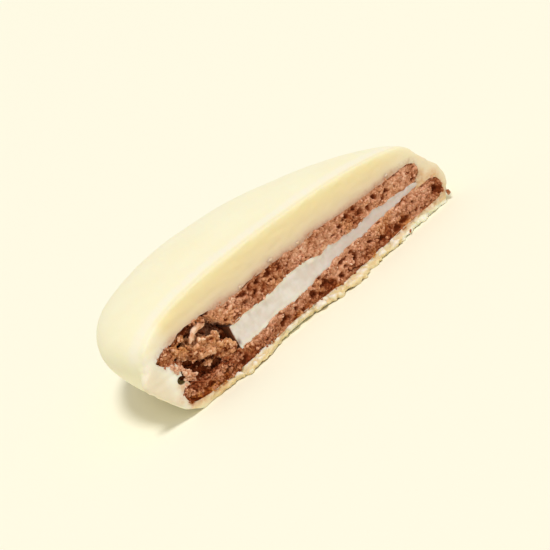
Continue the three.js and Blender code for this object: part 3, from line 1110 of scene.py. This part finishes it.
# Each bit is pressed together from eggs of crumb: place, half sizes, and turn if it is turned.
EGGS = {
    "broken_lump": (
        ((-19.7, 0.45, 7.1), (1.2, 0.6, 0.75), (0, 25, 0)),
        ((-18.7, 0.45, 6.7), (1.3, 0.6, 0.8), (0, 30, 0)),
        ((-17.6, 0.45, 6.0), (1.4, 0.6, 0.9), (0, 35, 0)),
        ((-16.6, 0.45, 6.6), (0.9, 0.6, 0.8), (0, 10, 0)),
        ((-16.2, 0.4, 5.5), (1.5, 0.6, 0.9), (0, 24, 0)),
        ((-15.2, 0.5, 6.1), (0.9, 0.6, 0.8), (0, -10, 0)),
        ((-15.0, 0.45, 5.0), (1.0, 0.6, 0.75), (0, 35, 0)),
        ((-14.2, 0.45, 4.3), (0.9, 0.55, 0.65), (0, 35, 0)),
        ((-13.6, 0.45, 3.6), (0.8, 0.5, 0.5), (0, 20, 0)),
        ((-18.9, 0.5, 5.6), (0.6, 0.45, 0.4), (0, 30, 0)),
        ((-17.0, 0.7, 4.1), (1.5, 0.5, 0.35), (0, 10, 0)),
        ((-19.5, 0.5, 8.8), (0.75, 0.5, 0.4), (0, 5, 0)),
        ((-20.8, 0.4, 8.0), (0.5, 0.4, 0.3), (0, 25, 0)),
        ((-22.2, 0.3, 8.9), (0.7, 0.4, 0.35), (0, 5, 0)),
        ((-17.4, 1.5, 6.1), (2.7, 0.8, 1.7), (0, 25, 0)),
        ((-20.9, 0.8, 7.5), (0.9, 0.5, 0.5), (0, 20, 0)),
        ((-20.5, 0.6, 8.7), (0.8, 0.5, 0.5), (0, 10, 0)),
        ((-15.1, 0.55, 3.8), (1.2, 0.55, 0.6), (0, 28, 0)),
    ),
    "broken_shard": (
        ((-17.8, 0.25, 8.1), (0.9, 0.3, 0.36), (0, -38, 0)),
        ((-16.9, 0.28, 8.55), (0.7, 0.3, 0.42), (0, -12, 0)),
        ((-16.2, 0.3, 8.6), (1.0, 0.35, 0.45), (0, 8, 0)),
    ),
    "broken_flake": (
        ((-22.3, 0.0, 6.7), (0.4, 0.2, 0.3), (0, 20, 0)),
        ((-21.9, 0.05, 6.1), (0.5, 0.25, 0.4), (0, 50, 0)),
        ((-21.3, 0.1, 6.0), (0.6, 0.25, 0.35), (0, 20, 0)),
        ((-20.9, 0.1, 5.3), (0.55, 0.3, 0.4), (0, 50, 0)),
        ((-20.6, 0.2, 4.9), (0.6, 0.35, 0.5), (0, 30, 0)),
        ((-20.3, 0.3, 4.3), (0.65, 0.35, 0.4), (0, 30, 0)),
        ((-20.9, 0.15, 4.2), (0.5, 0.3, 0.3), (0, 10, 0)),
        ((-20.4, 0.3, 3.7), (0.55, 0.3, 0.34), (0, 40, 0)),
        ((-21.6, 0.1, 3.7), (0.35, 0.2, 0.2)),
    ),
    "fallen_crumb": (
        ((-21.6, 0.4, 2.9), (0.7, 0.5, 0.6)),
        ((-20.3, 0.6, 2.9), (0.6, 0.5, 0.35)),
        ((-16.0, 0.5, 2.3), (0.5, 0.5, 0.45)),
        ((-14.6, 0.6, 2.9), (0.8, 0.6, 0.5), (0, 8, 0)),
        ((-13.2, 0.3, 2.6), (0.7, 0.4, 0.45)),
        ((-20.9, 0.3, 9.35), (0.7, 0.3, 0.2), (0, -4, 0)),
        ((-16.9, 0.3, 9.5), (0.6, 0.25, 0.12), (0, 6, 0)),
        ((-15.6, 0.3, 9.1), (0.6, 0.3, 0.28), (0, 10, 0)),
        ((24.1, 0.1, 1.05), (0.34, 0.3, 0.24), (0, 30, 0)),
        ((24.25, 0.15, 0.75), (0.22, 0.2, 0.2)),
        ((15.9, -0.6, 0.38), (0.3, 0.24, 0.22), (0, 0, 20)),
        ((16.2, -0.45, 0.42), (0.2, 0.2, 0.2)),
    ),
    "packed_crumb": (
        ((-19.6, 3.2, 5.6), (2.2, 1.5, 2.6)),
        ((-17.0, 3.4, 6.2), (2.6, 1.5, 3.2)),
        ((-14.4, 4.2, 6.0), (2.1, 1.0, 2.6)),
        ((-17.6, 2.0, 9.1), (2.6, 1.1, 0.7)),
        ((-16.5, 2.6, 3.6), (3.6, 1.6, 1.3), (0, 4, 0)),
        ((-13.1, 2.6, 4.5), (0.75, 1.6, 2.0)),
        ((-20.0, 0.9, 3.1), (1.0, 0.7, 0.5), (0, 15, 0)),
        ((-17.8, 0.7, 2.7), (1.4, 0.6, 0.4), (0, 4, 0)),
        ((-15.4, 0.8, 2.8), (1.2, 0.6, 0.35), (0, -4, 0)),
        ((-19.8, 2.2, 3.6), (1.5, 1.2, 0.9), (0, 20, 0)),
    ),
}

# How rough each bit is, how warm its brown and how much darker it is. A bit without a value is fully rough,
# or not warm. The packed crumb's darkness, and some of the fallen crumb's, is painted shade of the hollow.
BIT_ROUGH = {"broken_shard": 0, "broken_flake": 0.6}
BIT_WARM = {"broken_lump": 0.36, "broken_flake": 0.16, "fallen_crumb": 0.24}
BIT_DIM = {"broken_lump": -0.05, "broken_shard": -0.22, "broken_flake": -0.2, "fallen_crumb": 0.16,
           "packed_crumb": 0.38}

# How far apart the points of a bit are, and how many crumbs stick to a fully rough one.
BIT_GRAIN = 0.1
BIT_CRUMBS = 260

# The crumb's layers slope down to the right.
LAYERED = Matrix.Rotation(math.radians(-26), 3, "Y")


def flaky(at):
    """Crumb that broke along its layers: how far its flakes stand out, 1 in the gaps between them, and each
    flake's own tone."""
    laid = LAYERED @ at
    laid = laid + 0.5 * noise.noise_vector(laid * 0.8) + 0.2 * noise.noise_vector(laid * 2.1)
    near, seeds = noise.voronoi(Vector((laid.x * 0.75, laid.y * 0.8, laid.z * 1.5)))
    gap = smooth(0.26, 0.02, near[1] - near[0])
    stands = noise.cell(seeds[0] * 6.1)
    return 0.26 * stands - 0.24 * gap + 0.04, gap, stands


for number, (name, eggs) in enumerate(EGGS.items()):
    bit = bmesh.new()
    for at, *half_and_turn in eggs:
        add_egg(bit, placed(*at), *half_and_turn)
    rough = BIT_ROUGH.get(name, 1)
    bit = modified(bit, "REMESH", mode="VOXEL", voxel_size=BIT_GRAIN)
    bit.normal_update()
    for v, normal in [(v, v.normal.copy()) for v in bit.verts]:
        v.co += normal * rough * flaky(v.co)[0]
    bit = modified(bit, "REMESH", mode="VOXEL", voxel_size=BIT_GRAIN)

    # Gaps between the flakes are painted darker, as painted shade.
    def bit_dim(p):
        stands, gap, flake_tone = flaky(p)
        dim = BIT_DIM[name] + rough * (0.22 * gap - 0.12 * flake_tone)
        return dim + (0.3 - 0.2 * rough) * noise.noise(p * 1.3)

    crumbled(bit, lambda p: True, bit_dim, inside_at=lambda p: 0.15 + rough,
             warmth_at=lambda p: BIT_WARM.get(name, 0), depth=0.4 + 0.6 * rough)
    add_grains(bit, lambda p: p.y < CUT + 2, round(BIT_CRUMBS * rough), 20 + number, bit_dim)
    broken_bit = piece(name + "_bits" if name.startswith("broken") else name, bit, cocoa_crumb, sharp=180)
    if name.startswith("broken"):
        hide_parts(name)
    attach(broken_bit, "root")


# ---------------------------------------------------------------- table and light
# A pale cream table stands under the cookie, in a soft light from overhead and a little in front. A weaker
# light comes from all round. Sizes are in metres.

TABLE_HALF = 12
TABLE_CREAM = (0.95, 0.925, 0.77, 1)
LAMP_FROM = (-0.02, -0.287, 0.95)
LAMP_AWAY = 0.7
LAMP_STRENGTH = 1.75
LAMP_SPREAD = math.radians(16)
LAMP_COLOUR = (1, 0.985, 0.96)
FILL_STRENGTH = 0.535
FILL_COLOUR = (1, 0.985, 0.94, 1)

table_top = bmesh.new()
bmesh.ops.create_grid(table_top, x_segments=1, y_segments=1, size=TABLE_HALF)
table = new_object("table", new_mesh("table", table_top))
table_paint, wire, surface = new_finish("table_paint", Roughness=0.8, Specular_IOR_Level=0.2)
surface.inputs["Base Color"].default_value = TABLE_CREAM
table.data.materials.append(table_paint)

lamp_data = bpy.data.lights.new("overhead", "SUN")
lamp_data.angle = LAMP_SPREAD
lamp_data.energy = LAMP_STRENGTH
lamp_data.color = LAMP_COLOUR
lamp = new_object("overhead", lamp_data)
towards = Vector(LAMP_FROM).normalized()
facing = towards.to_track_quat("Z", "Y").to_matrix().to_4x4()
lamp.matrix_world = Matrix.Translation(towards * LAMP_AWAY) @ facing

world = bpy.data.worlds.new("studio")
world.use_nodes = True
background = world.node_tree.nodes["Background"]
background.inputs["Color"].default_value = FILL_COLOUR
background.inputs["Strength"].default_value = FILL_STRENGTH
bpy.context.scene.world = world
bpy.context.scene.view_settings.view_transform = "Standard"
